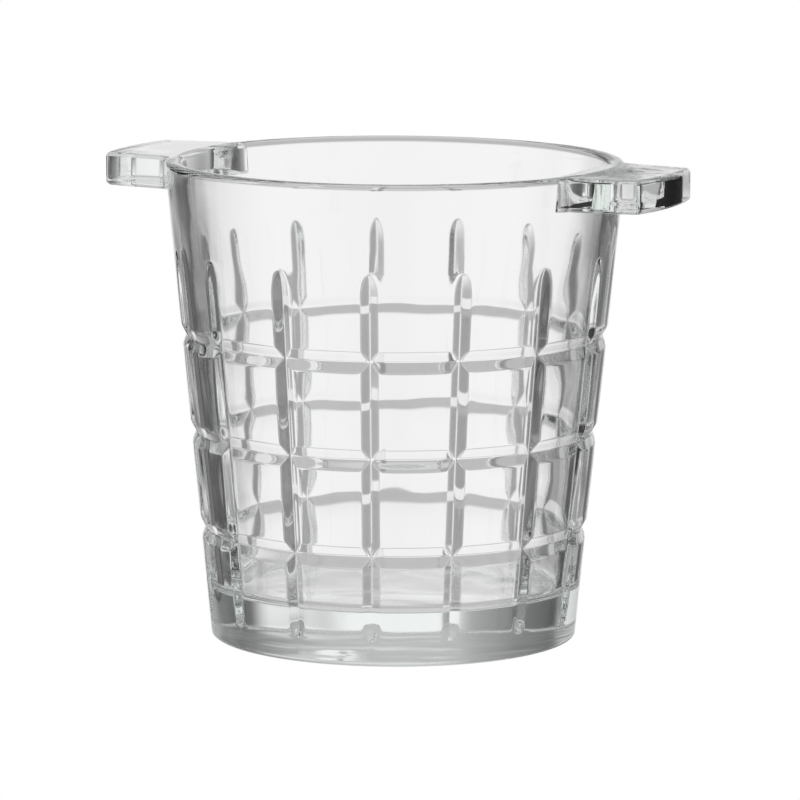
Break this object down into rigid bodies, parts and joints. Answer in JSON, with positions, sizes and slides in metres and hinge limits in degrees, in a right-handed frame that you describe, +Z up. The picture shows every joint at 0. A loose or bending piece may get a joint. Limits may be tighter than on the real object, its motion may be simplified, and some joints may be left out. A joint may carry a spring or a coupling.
{
  "type": "ice bucket",
  "caption": "Tapered clear glass ice bucket with a grid of V-cut grooves, a thick bottom and flat lug handles level with the rim.",
  "frame": {"origin": "middle of the foot, on the table", "axes": "+Z up through the bucket, X through both lugs, Y across the bucket"},
  "size_m": [0.1678, 0.129, 0.135],
  "materials": {
    "clear_glass": "clear pressed glass, fire polished"
  },
  "bodies": {
    "root": {"base": "clear_glass", "cut_wall": "clear_glass", "rim_band": "clear_glass", "left_lug": "clear_glass", "right_lug": "clear_glass"}
  },
  "joints": []
}
